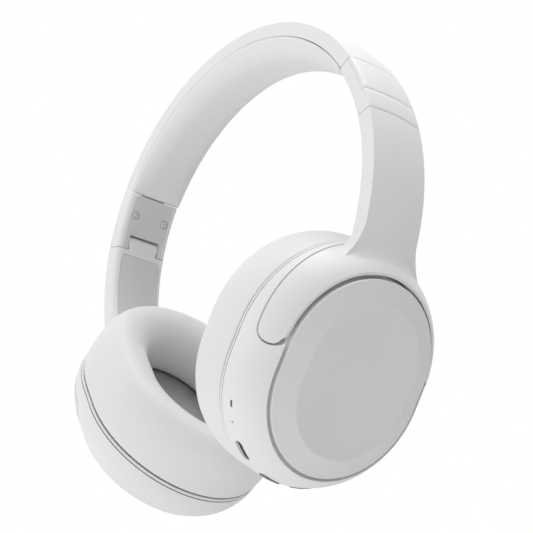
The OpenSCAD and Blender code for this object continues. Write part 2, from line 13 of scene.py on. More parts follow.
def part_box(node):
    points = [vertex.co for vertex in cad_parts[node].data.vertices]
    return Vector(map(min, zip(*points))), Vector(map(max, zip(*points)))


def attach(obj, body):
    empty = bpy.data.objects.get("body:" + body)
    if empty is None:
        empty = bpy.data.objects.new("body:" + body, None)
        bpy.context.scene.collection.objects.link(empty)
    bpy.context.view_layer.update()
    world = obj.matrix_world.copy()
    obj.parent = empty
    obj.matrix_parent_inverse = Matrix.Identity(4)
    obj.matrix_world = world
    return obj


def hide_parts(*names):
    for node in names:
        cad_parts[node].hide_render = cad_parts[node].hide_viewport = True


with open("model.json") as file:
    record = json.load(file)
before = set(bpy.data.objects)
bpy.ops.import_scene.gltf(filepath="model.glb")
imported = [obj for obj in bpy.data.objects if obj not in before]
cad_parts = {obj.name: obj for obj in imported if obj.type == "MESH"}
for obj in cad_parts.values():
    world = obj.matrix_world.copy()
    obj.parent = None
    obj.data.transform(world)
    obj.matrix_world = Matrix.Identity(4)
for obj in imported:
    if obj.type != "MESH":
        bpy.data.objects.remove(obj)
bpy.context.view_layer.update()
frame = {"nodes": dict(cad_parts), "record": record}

bl_info = {
    "name": "Over-ear headphones",
    "version": (1, 0, 0),
    "blender": (4, 5, 0),
    "location": "View3D > Sidebar > Headphones",
    "description": "Dresses the packed headphones with soft pieces, finishes, light and a camera",
    "category": "Object",
}

MM = 0.001
SIDES = {"left": 1.0, "right": -1.0}

# Sizes of a cup in millimetres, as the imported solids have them
DISC_TOP = 21.2  # rim plane to the flat of the disc
STRAIGHT = 4.5  # half of the oval's straight stretch
FLANK_R, FLANK_OUT = 18.0, 1.2  # centre of the flank's round section
FORK_WALL = 32.6  # just past the fork's wall beside the disc
FORK_LIP = 16.3  # height where the cut under the fork's edge starts
GROOVE_FLOOR, GROOVE_IN, GROOVE_OUT = 15.4, 30.7, 31.9  # groove round the disc
FORK_FROM = 12.0  # the fork covers the groove above this place
RING_HALF, RING_EDGE = 0.6, 39.5  # half the rim ring's thickness, and where its edge starts
HEAD_R, HEAD_H, SLOT_D = 1.9, 0.9, 0.4  # cover screws: head radius, head height, slot depth

# Frame of the left cup: OUT along the cup's axis, UP along its length, RIM the centre of the rim plane
MOUNTS = {mount["name"]: mount for mount in frame["record"]["mounts"]}
OUT = np.array(MOUNTS["left_cap_face"]["axis"])
UP = np.array([-OUT[2], 0.0, OUT[0]])
RIM = np.array(MOUNTS["left_cap_face"]["pos_m"]) - OUT * DISC_TOP * MM

# Frame of the band: its centre lies below the crown, on the middle plane
CROWN_R = 85.0
BAND_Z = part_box("headband_shell")[1].z - CROWN_R * MM


def cup_points(points, side):
    """Points given as back, up and outward millimetres of a cup, in the row frame in metres."""
    p = np.asarray(points, float) * MM
    world = RIM + p[..., 0:1] * np.array([0.0, 1.0, 0.0]) + p[..., 1:2] * UP + p[..., 2:3] * OUT
    world[..., 0] *= SIDES[side]
    return world


def cup_place(points, side):
    """Back, up, outward and radial millimetres of points of a cup, given in the row frame in metres."""
    p = (points * (SIDES[side], 1.0, 1.0) - RIM) / MM
    back, up, out = p[:, 1], p @ UP, p @ OUT
    return back, up, out, np.hypot(back, np.maximum(np.abs(up) - STRAIGHT, 0))


def band_points(angle, radius, across):
    """Points at an angle in degrees from the crown, a radius and a place across the band in millimetres."""
    a = np.radians(angle)
    x, z = radius * np.sin(a) * MM, radius * np.cos(a) * MM + BAND_Z
    return np.stack([x, across * MM, z], axis=-1)


def spow(v, p):
    """A power that keeps the sign, for soft square sections."""
    return np.sign(v) * np.abs(v) ** p


def linear(text, alpha=1.0):
    """A colour written as sRGB hex, as linear values."""
    srgb = [int(text[i:i + 2], 16) / 255 for i in (1, 3, 5)]
    return tuple(c / 12.92 if c <= 0.04045 else ((c + 0.055) / 1.055) ** 2.4 for c in srgb) + (alpha,)


def add(tree, kind, links=None, inputs=None, **settings):
    """Adds one node with its settings, the values of its inputs and the links into it."""
    node = tree.nodes.new(kind)
    for key, value in settings.items():
        setattr(node, key, value)
    for key, value in (inputs or {}).items():
        node.inputs[key].default_value = value
    for key, socket in (links or {}).items():
        tree.links.new(socket, node.inputs[key])
    return node


def new_material(name, **values):
    """A material with one principled shader, whose plain values are set on its own sockets."""
    material = bpy.data.materials.new(name)
    material.use_nodes = True
    tree = material.node_tree
    shader = tree.nodes["Principled BSDF"]
    for key, value in values.items():
        shader.inputs[key.replace("_", " ")].default_value = value
    place = add(tree, "ShaderNodeTexCoord")
    return material, tree, shader, place.outputs["Object"]


def moulded_abs(name, colour, shade, roughness, grain_mm):
    """White ABS: spark-eroded moulds leave a fine even grain, so highlights are soft and wide."""
    material, tree, shader, place = new_material(name, IOR=1.54)
    flow = add(tree, "ShaderNodeTexNoise", {"Vector": place}, {"Scale": 1 / (30 * MM), "Detail": 2.0})
    tint = add(tree, "ShaderNodeValToRGB", {"Fac": flow.outputs["Fac"]})
    tint.color_ramp.elements[0].color = linear(shade)
    tint.color_ramp.elements[1].color = linear(colour)
    tree.links.new(tint.outputs["Color"], shader.inputs["Base Color"])
    grain = add(tree, "ShaderNodeTexNoise", {"Vector": place}, {"Scale": 1 / (grain_mm * MM), "Detail": 3.0})
    polish = add(tree, "ShaderNodeMapRange", {"Value": grain.outputs["Fac"]},
                 {"To Min": roughness - 0.04, "To Max": roughness + 0.04})
    tree.links.new(polish.outputs["Result"], shader.inputs["Roughness"])
    bump = add(tree, "ShaderNodeBump", {"Height": grain.outputs["Fac"]}, {"Strength": 0.08, "Distance": 0.02 * MM})
    tree.links.new(bump.outputs["Normal"], shader.inputs["Normal"])
    return material


def protein_leather(name, colour, crease):
    """White protein leather: a thin coated skin with fine pebbles, matt with a faint sheen."""
    material, tree, shader, place = new_material(name, IOR=1.5, Roughness=0.52, Sheen_Weight=0.08,
                                                 Sheen_Roughness=0.4)
    pebble = add(tree, "ShaderNodeTexVoronoi", {"Vector": place}, {"Scale": 1 / (0.5 * MM)}, feature="F1")
    tint = add(tree, "ShaderNodeValToRGB", {"Fac": pebble.outputs["Distance"]})
    tint.color_ramp.elements[0].color = linear(colour)
    tint.color_ramp.elements[1].color = linear(crease)
    tint.color_ramp.elements[1].position = 0.95
    tree.links.new(tint.outputs["Color"], shader.inputs["Base Color"])
    fine = add(tree, "ShaderNodeTexNoise", {"Vector": place}, {"Scale": 1 / (0.25 * MM), "Detail": 4.0})
    height = add(tree, "ShaderNodeMath", {0: fine.outputs["Fac"], 1: pebble.outputs["Distance"]}, operation="SUBTRACT")
    bump = add(tree, "ShaderNodeBump", {"Height": height.outputs["Value"]}, {"Strength": 0.15, "Distance": 0.03 * MM})
    tree.links.new(bump.outputs["Normal"], shader.inputs["Normal"])
    return material


def rolled_steel(name, colour):
    """Bright rolled steel: fine lines along the strip spread the reflections a little."""
    material, tree, shader, place = new_material(name, Metallic=1.0)
    stretch = add(tree, "ShaderNodeMapping", {"Vector": place}, {"Scale": (20.0, 1.0, 20.0)})
    lines = add(tree, "ShaderNodeTexNoise", {"Vector": stretch.outputs["Vector"]},
                {"Scale": 1 / (4 * MM), "Detail": 4.0})
    polish = add(tree, "ShaderNodeMapRange", {"Value": lines.outputs["Fac"]}, {"To Min": 0.22, "To Max": 0.4})
    tree.links.new(polish.outputs["Result"], shader.inputs["Roughness"])
    tint = add(tree, "ShaderNodeValToRGB", {"Fac": lines.outputs["Fac"]})
    tint.color_ramp.elements[0].color = linear("#A9ABAE")
    tint.color_ramp.elements[1].color = linear(colour)
    tree.links.new(tint.outputs["Color"], shader.inputs["Base Color"])
    return material


def mesh_cloth(name, thread, gap):
    """Thin polyester mesh cloth: threads 0.5 mm apart, drawn at 0.8 mm so that they show."""
    material, tree, shader, place = new_material(name, Roughness=0.85, Sheen_Weight=0.15)
    waves = [add(tree, "ShaderNodeTexWave", {"Vector": place}, {"Scale": math.tau / 20 / (0.8 * MM)},
                 bands_direction=axis) for axis in ("Y", "Z")]
    weave = add(tree, "ShaderNodeMath", {0: waves[0].outputs["Fac"], 1: waves[1].outputs["Fac"]}, operation="MAXIMUM")
    tint = add(tree, "ShaderNodeValToRGB", {"Fac": weave.outputs["Value"]})
    tint.color_ramp.elements[0].color = linear(gap)
    tint.color_ramp.elements[1].color = linear(thread)
    tree.links.new(tint.outputs["Color"], shader.inputs["Base Color"])
    bump = add(tree, "ShaderNodeBump", {"Height": weave.outputs["Value"]}, {"Strength": 0.3, "Distance": 0.1 * MM})
    tree.links.new(bump.outputs["Normal"], shader.inputs["Normal"])
    return material


def make_materials(finish):
    """One material for each finish of the record, and three for pieces that are darker than their slot: two of their
    own darker colour, and one greyer white that paints shade on the hinge plates and arm panels.
    """
    return {
        "white_shell_plastic": moulded_abs("abs_satin_white", finish.shell, "#ECECEC", 0.42, 0.35),
        "white_cap_plastic": moulded_abs("abs_fine_white", finish.disc, "#E6E6E6", 0.36, 0.3),
        "white_protein_leather": protein_leather("protein_leather_white", finish.leather, "#EAEAEA"),
        "spring_steel": rolled_steel("steel_rolled", "#CDCFD1"),
        "dark_inner_plastic": moulded_abs("abs_dark", "#2C2D2F", "#242527", 0.5, 0.4),
        "grille_cloth": mesh_cloth("polyester_mesh_grey", finish.cloth, "#7E7E7D"),
        "clear_film": moulded_abs("polyester_film", "#DDE1E3", "#D4D8DA", 0.2, 1.0),
        "smoked_lens": moulded_abs("acrylic_smoked", "#4A4C4E", "#3E4042", 0.12, 1.0),
        # Painted shade: a greyer white for the hinge plates and arm panels, whose inner faces lie in shade.
        "painted_shade_grey_plastic": moulded_abs("abs_satin_painted_shade_grey", "#DEDEDE", "#D8D8D8", 0.42, 0.35),
        "grey_key_plastic": moulded_abs("abs_fine_grey", "#77797B", "#6C6E70", 0.4, 0.3),
        "green_board": moulded_abs("solder_mask_green", "#1E5A3A", "#17462E", 0.3, 0.6),
        "cell_foil": rolled_steel("foil_pouch", "#B8BCC0"),
    }


MATERIALS = {}
# The lens and the keys are darker in their own colour; the hinge plates and arm panels get painted shade.
DARKER_OR_PAINTED_SHADE = {"led_lens": "smoked_lens", "power_button": "grey_key_plastic", "volume_rocker": "grey_key_plastic",
          **{f"{side}_{plate}": "painted_shade_grey_plastic" for side in SIDES for plate in ("hinge_plate", "arm_panel")}}
SOFT_EDGES = [f"{side}_{piece}" for side in SIDES for piece in ("hinge_cover", "hinge_block", "arm_panel")]


def surface(name, points, around, along, end_fill=False):
    """A mesh of quads over a grid of points, closed along its first and second index where asked."""
    rows, columns = points.shape[:2]
    mesh = bpy.data.meshes.new(name)
    faces = []
    for i in range(rows if around else rows - 1):
        for j in range(columns if along else columns - 1):
            k, l = (i + 1) % rows, (j + 1) % columns
            faces.append((i * columns + j, k * columns + j, k * columns + l, i * columns + l))
    if end_fill:
        faces.append(tuple(range(columns)))
        faces.append(tuple((rows - 1) * columns + j for j in reversed(range(columns))))
    mesh.from_pydata(points.reshape(-1, 3), [], faces)
    obj = bpy.data.objects.new(name, mesh)
    bpy.context.scene.collection.objects.link(obj)
    tidy = bmesh.new()
    tidy.from_mesh(mesh)
    bmesh.ops.recalc_face_normals(tidy, faces=tidy.faces)
    tidy.to_mesh(mesh)
    tidy.free()
    mesh.polygons.foreach_set("use_smooth", [True] * len(mesh.polygons))
    return obj


def copy_solid(node, name):
    """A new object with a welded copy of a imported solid's mesh."""
    mesh = frame["nodes"][node].data.copy()
    obj = bpy.data.objects.new(name, mesh)
    bpy.context.scene.collection.objects.link(obj)
    weld = bmesh.new()
    weld.from_mesh(mesh)
    bmesh.ops.remove_doubles(weld, verts=weld.verts, dist=1e-6)
    weld.to_mesh(mesh)
    weld.free()
    if "custom_normal" in mesh.attributes:
        mesh.attributes.remove(mesh.attributes["custom_normal"])
    return obj


def bake(obj):
    """Puts the result of an object's modifiers into its mesh."""
    done = bpy.data.meshes.new_from_object(obj.evaluated_get(bpy.context.evaluated_depsgraph_get()))
    obj.modifiers.clear()
    obj.data = done


def step(v, low, high):
    """A smooth rise from 0 at low to 1 at high."""
    t = np.clip((v - low) / (high - low), 0, 1)
    return t * t * (3 - 2 * t)


def blend_weight(co):
    """1 on the outside of the left arm's lower end and the top of its fork, 0 elsewhere."""
    p = (co - RIM) / MM
    back, up, out = p[:, 1], p @ UP, p @ OUT
    radius = np.hypot(back, up - STRAIGHT)
    flank = np.hypot(radius - FLANK_R, out - FLANK_OUT)
    side = np.degrees(np.abs(np.arctan2(back, up - STRAIGHT)))
    arm = np.degrees(np.arctan2(co[:, 0], co[:, 2] - BAND_Z))
    return step(flank, 20.4, 21.2) * step(-side, -62, -48) * step(arm, 88, 100) * step(out, 3.0, 5.0)


def points_of(mesh):
    """The points of a mesh as rows."""
    co = np.empty(len(mesh.vertices) * 3)
    mesh.vertices.foreach_get("co", co)
    return co.reshape(-1, 3)


def fill_hollows(mesh, passes):
    """Smooths an even mesh by its neighbours, and keeps only what moves outward."""
    co = points_of(mesh)
    edges = np.empty(len(mesh.edges) * 2, int)
    mesh.edges.foreach_get("vertices", edges)
    first, second = edges.reshape(-1, 2).T
    normals = np.array([v.normal for v in mesh.vertices])
    weight = blend_weight(co)
    count = np.bincount(edges, minlength=len(co)).astype(float)
    moved = co.copy()
    for _ in range(passes):
        total = np.stack([np.bincount(first, moved[second, k], len(co))
                          + np.bincount(second, moved[first, k], len(co)) for k in range(3)], axis=1)
        moved += 0.5 * weight[:, None] * (total / count[:, None] - moved)
    lift = np.einsum("ij,ij->i", moved - co, normals)
    mesh.vertices.foreach_set("co", np.where((lift > 0)[:, None], moved, co).ravel())
    mesh.update()


def refine(mesh, length, weigh):
    """Splits the edges of the weighted region until none is longer than asked."""
    fine = bmesh.new()
    fine.from_mesh(mesh)
    for _ in range(12):
        middles = np.array([(e.verts[0].co + e.verts[1].co) / 2 for e in fine.edges])
        near = weigh(middles) > 0
        long = [e for e, n in zip(fine.edges, near) if n and e.calc_length() > length]
        if not long:
            break
        bmesh.ops.subdivide_edges(fine, edges=long, cuts=1)
        bmesh.ops.triangulate(fine, faces=[f for f in fine.faces if len(f.verts) > 3])
    fine.to_mesh(mesh)
    fine.free()


def follow(mesh, guide, weigh):
    """Moves the weighted points of a mesh outward onto a guide, so that hollows fill and creases stay crisp."""
    shape = bmesh.new()
    shape.from_mesh(guide)
    tree = BVHTree.FromBMesh(shape)
    shape.free()
    weight = weigh(points_of(mesh))
    normals = [vertex.normal.copy() for vertex in mesh.vertices]
    for vertex, normal, w in zip(mesh.vertices, normals, weight):
        if w > 0:
            target = tree.find_nearest(vertex.co)[0]
            if (target - vertex.co).dot(normal) > 0:
                vertex.co = vertex.co.lerp(target, w)
    mesh.update()


def relieve(mesh, undercut, corner):
    """Cuts under the left fork's edge beside the disc, and rounds the tips of the fork back from the disc."""
    wall = bmesh.new()
    wall.from_mesh(mesh)
    inner = cup_place(np.array([v.co for v in wall.verts]), "left")[3] < FORK_WALL
    faces = [f for f in wall.faces if all(inner[v.index] for v in f.verts)]
    edges = dict.fromkeys(e for f in faces for e in f.edges)
    verts = dict.fromkeys(v for f in faces for v in f.verts)
    bmesh.ops.bisect_plane(wall, geom=[*faces, *edges, *verts], plane_co=Vector(RIM + OUT * FORK_LIP * MM),
                           plane_no=Vector(OUT))
    wall.to_mesh(mesh)
    wall.free()
    co = points_of(mesh)
    back, up, out, radius = cup_place(co, "left")
    low = (radius < FORK_WALL) & (out < FORK_LIP + 0.02)
    sideways = np.stack([back, np.maximum(up - STRAIGHT, 0)], axis=1) / np.maximum(radius, 1)[:, None]
    move = (sideways[:, :1] * (0.0, 1.0, 0.0) + sideways[:, 1:] * UP) * np.where(low, undercut, 0.0)[:, None]
    move += UP * (corner * step(-radius, -35.0, -32.8) * step(-up, -10.0, -6.0))[:, None]
    mesh.vertices.foreach_set("co", (co + move).ravel())
    mesh.update()


def shade(mesh, degrees):
    """Smooth shading, with a crease where faces meet more sharply than the angle."""
    mesh.polygons.foreach_set("use_smooth", [True] * len(mesh.polygons))
    mesh.set_sharp_from_angle(angle=math.radians(degrees))


def mirrored(obj, name):
    """A copy of a left piece for the right side."""
    other = bpy.data.objects.new(name, obj.data.copy())
    bpy.context.scene.collection.objects.link(other)
    other.data.transform(Matrix.Scale(-1, 4, (1, 0, 0)))
    other.data.flip_normals()
    return other


def swell(obj, held, pressure, limit):
    """Fills a soft piece from inside, as cloth that is held at its seat, and moves no point past the limit."""
    scene = bpy.context.scene
    start = points_of(obj.data)
    obj.vertex_groups.new(name="seat").add(held, 1.0, "REPLACE")
    cloth = obj.modifiers.new("Swell", "CLOTH")
    cloth.settings.vertex_group_mass = "seat"
    cloth.settings.use_pressure = True
    cloth.settings.uniform_pressure_force = pressure
    cloth.settings.effector_weights.gravity = 0.0
    cloth.collision_settings.use_collision = False
    # The solver is made for pieces the size of a garment, so the small piece is swollen at twenty times its size
    obj.scale = (20.0, 20.0, 20.0)
    for number in range(1, 21):
        scene.frame_set(number)
    move = points_of(obj.evaluated_get(bpy.context.evaluated_depsgraph_get()).data) - start
    obj.modifiers.clear()
    obj.vertex_groups.clear()
    obj.scale = (1.0, 1.0, 1.0)
    scene.frame_set(1)
    length = np.maximum(np.linalg.norm(move, axis=1), 1e-9)
    move *= (limit * np.tanh(length / limit) / length)[:, None]
    obj.data.vertices.foreach_set("co", (start + move).ravel())
    obj.data.update()


def soften(obj, radius):
    """The small edge radius of a moulding, which also opens its parting lines into fine grooves."""
    obj.modifiers.new("Weld", "WELD").merge_threshold = 1e-6
    edge = obj.modifiers.new("Edge radius", "BEVEL")
    edge.width, edge.segments, edge.limit_method, edge.angle_limit = radius, 2, "ANGLE", math.radians(35)
    edge.harden_normals = True
    edge.material = 0


def dress(obj, body, slot, *nodes):
    """Gives a new piece its body, its finish and the solids that it stands for."""
    obj.data.materials.clear()
    obj.data.materials.append(MATERIALS[slot])
    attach(obj, body)
    if nodes:
        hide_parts(*nodes)
    return obj


def paint_seam_shade(obj, side, low, high):
    """Painted shade: the dark inner plastic on a piece's faces between two heights of the cup's frame, which paints the
    shadow in its seam gap as a dark line.
    """
    obj.data.materials.append(MATERIALS["dark_inner_plastic"])
    out = cup_place(points_of(obj.data), side)[2]
    for face in obj.data.polygons:
        if all(low < out[v] < high for v in face.vertices):
            face.material_index = 1


class HeadphoneFinish(bpy.types.PropertyGroup):
    """Colours of the finishes."""
    shell: StringProperty(name="Shell plastic", description="Colour of the moulded shells", default="#F2F2F2")
    disc: StringProperty(name="Disc plastic", description="Colour of the discs and buttons", default="#EDEDED")
    leather: StringProperty(name="Leather", description="Colour of the cushions and the pad", default="#F1F1F1")
    cloth: StringProperty(name="Cloth", description="Colour of the cloth over the drivers", default="#B4B4B4")


class HeadphoneSoft(bpy.types.PropertyGroup):
    """Sizes of the soft pieces."""
    outer: FloatProperty(name="Cushion radius", description="Half width of an ear cushion", default=40 * MM,
                         unit="LENGTH")
    opening: FloatProperty(name="Ear opening", description="Half width of the opening", default=20.3 * MM,
                           unit="LENGTH")
    depth: FloatProperty(name="Cushion depth", description="Depth of an ear cushion", default=24 * MM, unit="LENGTH")
    straight: FloatProperty(name="Straight stretch", description="Half length of the oval's straight stretch",
                            default=4.5 * MM, unit="LENGTH")
    pad: FloatProperty(name="Head pad depth", description="Depth of the head pad at the crown", default=7.2 * MM,
                       unit="LENGTH")
    pressure: FloatProperty(name="Filling pressure", description="Pressure of the simulated filling", default=6.0)
    swell: FloatProperty(name="Most swelling", description="Furthest a point of a soft piece may move",
                         default=0.8 * MM, unit="LENGTH")


class HeadphoneBlend(bpy.types.PropertyGroup):
    """Fine forms of the mouldings: hollows, edges, grooves, seams and screws."""
    voxel: FloatProperty(name="Mesh size", description="Size of the even mesh", default=0.6 * MM, unit="LENGTH")
    passes: IntProperty(name="Passes", description="Smoothing passes, which set the hollows' radius", default=220)
    edge: FloatProperty(name="Finest edge", description="Longest edge left in the hollows", default=1.2 * MM,
                        unit="LENGTH")
    radius: FloatProperty(name="Edge radius", description="Radius on the edges of the mouldings", default=0.25 * MM,
                          unit="LENGTH")
    groove: FloatProperty(name="Groove depth", description="How much deeper the groove round a disc is under the fork",
                          default=2.5 * MM, unit="LENGTH")
    undercut: FloatProperty(name="Undercut", description="How far the fork is cut under beside a disc",
                            default=1.1 * MM, unit="LENGTH")
    corner: FloatProperty(name="Tip rounding", description="How far the fork's tips are rounded back from a disc",
                          default=2.2 * MM, unit="LENGTH")
    seam: FloatProperty(name="Seam", description="How much narrower a rim ring is at its edge, on each side",
                        default=0.06 * MM, unit="LENGTH")
    sink: FloatProperty(name="Screw depth", description="How deep the screw heads lie in their holes",
                        default=0.35 * MM, unit="LENGTH")


class HeadphoneStage(bpy.types.PropertyGroup):
    """Light and camera."""
    key: FloatProperty(name="Key light", description="Power of the large front light", default=2.0, unit="POWER")
    top: FloatProperty(name="Top light", description="Power of the overhead light", default=9.0, unit="POWER")
    ambient: FloatProperty(name="Ambient", description="Mean strength of the room's light", default=0.58, min=0.0)
    slope: FloatProperty(name="Slope", description="How much brighter the room is on its bright side", default=0.78,
                         min=0.0)
    bright_side: FloatVectorProperty(name="Bright side", description="Direction from which the room is brightest",
                                     default=(-0.36, -0.52, -0.77), subtype="DIRECTION")
    azimuth: FloatProperty(name="Azimuth", description="Turn of the camera about the object",
                           default=math.radians(50.4716), subtype="ANGLE")
    elevation: FloatProperty(name="Elevation", description="Height angle of the camera",
                             default=math.radians(-23.2115), subtype="ANGLE")
    roll: FloatProperty(name="Roll", description="Roll of the camera", default=math.radians(-1.159), subtype="ANGLE")
    distance: FloatProperty(name="Distance", description="Distance of the camera", default=472.5 * MM, unit="LENGTH")
    lens: FloatProperty(name="Lens", description="Focal length in millimetres", default=81.6, subtype="DISTANCE_CAMERA")


class HEADPHONES_OT_finishes(bpy.types.Operator):
    """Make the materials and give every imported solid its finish"""
    bl_idname = "headphones.finishes"
    bl_label = "Finishes"

    def execute(self, context):
        MATERIALS.update(make_materials(context.scene.headphone_finish))
        for row in frame["record"]["subparts"]:
            mesh = frame["nodes"][row["node"]].data
            mesh.materials.clear()
            # Painted shade: the hinge plates and arm panels get a greyer white than their slot.
            mesh.materials.append(MATERIALS[DARKER_OR_PAINTED_SHADE.get(row["node"], row["material_slot"])])
        for node in SOFT_EDGES:
            soften(frame["nodes"][node], context.scene.headphone_blend.radius)
        return {"FINISHED"}


class HEADPHONES_OT_yokes(bpy.types.Operator):
    """Blend the arms into their forks with soft hollows, as the mouldings have"""
    bl_idname = "headphones.yokes"
    bl_label = "Yokes"

    def execute(self, context):
        blend = context.scene.headphone_blend
        guide = copy_solid("left_yoke", "blend_guide")
        remesh = guide.modifiers.new("Even", "REMESH")
        remesh.mode, remesh.voxel_size = "VOXEL", blend.voxel
        bake(guide)
        fill_hollows(guide.data, blend.passes)
        yoke = copy_solid("left_yoke", "left_yoke_moulding")
        refine(yoke.data, blend.edge, blend_weight)
        follow(yoke.data, guide.data, blend_weight)
        bpy.data.objects.remove(guide)
        relieve(yoke.data, blend.undercut, blend.corner)
        shade(yoke.data, 30)
        for side, obj in (("left", yoke), ("right", mirrored(yoke, "right_yoke_moulding"))):
            dress(obj, f"{side}_arm", "white_shell_plastic", f"{side}_yoke")
        return {"FINISHED"}


class HEADPHONES_OT_housings(bpy.types.Operator):
    """Deepen the groove round each disc where the fork covers it, and round the housings' edges"""
    bl_idname = "headphones.housings"
    bl_label = "Cup housings"

    def execute(self, context):
        blend = context.scene.headphone_blend
        for side, sign in SIDES.items():
            housing = copy_solid(f"{side}_cup_housing", f"{side}_housing_moulding")
            co = points_of(housing.data)
            _, up, out, radius = cup_place(co, side)
            groove = (np.abs(out - GROOVE_FLOOR) < 0.03) & (radius > GROOVE_IN) & (radius < GROOVE_OUT)
            floor = groove & (up > FORK_FROM)
            co[floor] -= OUT * (sign, 1.0, 1.0) * blend.groove
            housing.data.vertices.foreach_set("co", co.ravel())
            shade(housing.data, 30)
            soften(housing, blend.radius)
            dress(housing, f"{side}_cup", "white_shell_plastic", f"{side}_cup_housing")
        return {"FINISHED"}


class HEADPHONES_OT_rings(bpy.types.Operator):
    """Narrow each rim ring at its edge, so that the seams beside it read as gaps"""
    bl_idname = "headphones.rings"
    bl_label = "Rim rings"

    def execute(self, context):
        share = context.scene.headphone_blend.seam / RING_HALF
        for side, sign in SIDES.items():
            ring = copy_solid(f"{side}_rim_ring", f"{side}_ring_moulding")
            co = points_of(ring.data)
            _, _, out, radius = cup_place(co, side)
            pull = np.where(radius > RING_EDGE, (RING_HALF - out) * share, 0.0)
            ring.data.vertices.foreach_set("co", (co + pull[:, None] * OUT * (sign, 1.0, 1.0)).ravel())
            shade(ring.data, 40)
            dress(ring, f"{side}_cup", "white_shell_plastic", f"{side}_rim_ring")
            # Painted shade: a dark band on the ring's faces stands for the shadow in the seam gap.
            paint_seam_shade(ring, side, 1.1, 1.25)
        return {"FINISHED"}


class HEADPHONES_OT_screws(bpy.types.Operator):
    """Sink the cross-head screws into their holes, with room round the heads and wider slots"""
    bl_idname = "headphones.screws"
    bl_label = "Screws"

    def execute(self, context):
        for side, sign in SIDES.items():
            screws = copy_solid(f"{side}_hinge_screws", f"{side}_cross_screws")
            place = (points_of(screws.data) * (sign, 1.0, 1.0) - (0.0, 0.0, BAND_Z)) / MM
            angle = np.arctan2(place[:, 0], place[:, 2])
            middle = (angle.min() + angle.max()) / 2
            axis = np.array([math.sin(middle), 0.0, math.cos(middle)])
            along = np.array([axis[2], 0.0, -axis[0]])
            gap = np.abs(place[:, 1]).max() - HEAD_R
            depth, length, width = place @ axis, place @ along, place[:, 1] - np.sign(place[:, 1]) * gap
            depth -= depth.min()
            reach = np.hypot(length, width)
            rim = (depth < HEAD_H + 0.05) & (reach > HEAD_R - 0.1)
            face = depth < SLOT_D + 0.1
            slot = face & (reach < HEAD_R * 0.6 + 0.16)
            wide = np.where(rim, 0.82, 1.0)
            grown = [np.where(slot & (np.abs(v) < 0.25), 1.5, wide) * v - v for v in (length, width)]
            down = np.where(face, context.scene.headphone_blend.sink / MM, 0.0)
            place += grown[0][:, None] * along + grown[1][:, None] * (0.0, 1.0, 0.0) + down[:, None] * axis
            co = (place * MM + (0.0, 0.0, BAND_Z)) * (sign, 1.0, 1.0)
            screws.data.vertices.foreach_set("co", co.ravel())
            shade(screws.data, 30)
            dress(screws, f"{side}_slider", "spring_steel", f"{side}_hinge_screws")
        return {"FINISHED"}


class HEADPHONES_OT_cushions(bpy.types.Operator):
    """Model the two ear cushions and fill them by a short cloth simulation"""
    bl_idname = "headphones.cushions"
    bl_label = "Ear cushions"

    def execute(self, context):
        soft = context.scene.headphone_soft
        radius, out = self.section(soft.outer / MM, soft.opening / MM, soft.depth / MM)
        straight = soft.straight / MM
        turn = np.concatenate([np.linspace(0, math.pi, 40), np.linspace(math.pi, math.tau, 40)])[:, None]
        shift = np.where(np.arange(80) < 40, straight, -straight)[:, None]
        points = np.stack([radius * np.cos(turn), radius * np.sin(turn) + shift, out + 0 * turn], axis=-1)
        cushion = surface("left_cushion", cup_points(points, "left"), True, True)
        held = np.flatnonzero(np.tile(out > -1.5, 80)).tolist()
        swell(cushion, held, soft.pressure, soft.swell)
        for side, obj in (("left", cushion), ("right", mirrored(cushion, "right_cushion"))):
            smooth = obj.modifiers.new("Smooth", "SUBSURF")
            smooth.levels = smooth.render_levels = 1
            dress(obj, f"{side}_cup", "white_protein_leather", f"{side}_ear_cushion")
            # Painted shade: a dark band on the cushion's seat faces stands for the shadow in the seam gap at the rim
            # ring.
            paint_seam_shade(obj, side, -0.6, 0.0)
        return {"FINISHED"}

    def section(self, outer, opening, depth):
        """Radius and outward place round a cushion's section: side, crown, lip, under the lip and seat."""
        crown, shoulder, lip, tuck, seat = outer - 7.5, 10.0, 13.0, 2.5, 0.45
        t = np.linspace(0, math.pi / 2, 9)
        loop = [(outer - 0.9, -seat), (outer - 0.4, -seat - 0.1), (outer - 0.1, -seat - 0.4)]
        loop += [(outer, -1.4), (outer, -4.0), (outer, -7.0)]
        loop += zip(crown + (outer - crown) * np.cos(t) ** 0.85, -shoulder - (depth - shoulder) * np.sin(t) ** 0.85)
        loop += zip(crown - (crown - opening) * np.sin(t[1:]) ** 1.1, -lip - (depth - lip) * np.cos(t[1:]) ** 0.85)
        loop += zip(opening + tuck * (1 - np.cos(t[2::2])), -lip + (lip - seat) * np.sin(t[2::2]))
        loop += [(r, -seat) for r in np.linspace(opening + tuck, outer - 0.9, 6)[1:-1]]
        return np.array(loop).T


class HEADPHONES_OT_head_pad(bpy.types.Operator):
    """Model the padded strip under the headband and fill it by a short cloth simulation"""
    bl_idname = "headphones.head_pad"
    bl_label = "Head pad"

    def execute(self, context):
        soft = context.scene.headphone_soft
        half, top, end_depth, half_width = 59.3, 78.1, 1.5, 12.5
        u = np.linspace(-1, 1, 81)
        low = end_depth + (soft.pad / MM - end_depth) * (1 - np.abs(u) ** 3) ** 0.8
        t = np.linspace(0, math.pi, 25)
        radius = top - low[:, None] * np.sin(t) ** 0.55
        across = half_width * spow(np.cos(t), 0.5)
        pad = surface("head_pad", band_points(u[:, None] * half + 0 * radius, radius, across + 0 * radius), False, True,
                      end_fill=True)
        place = np.arange(81 * 25)
        edge = (place % 25 < 2) | (place % 25 > 22) | (place < 50) | (place >= 79 * 25)
        swell(pad, np.flatnonzero(edge).tolist(), soft.pressure, soft.swell)
        dress(pad, "headband", "white_protein_leather", "headband_pad")
        return {"FINISHED"}


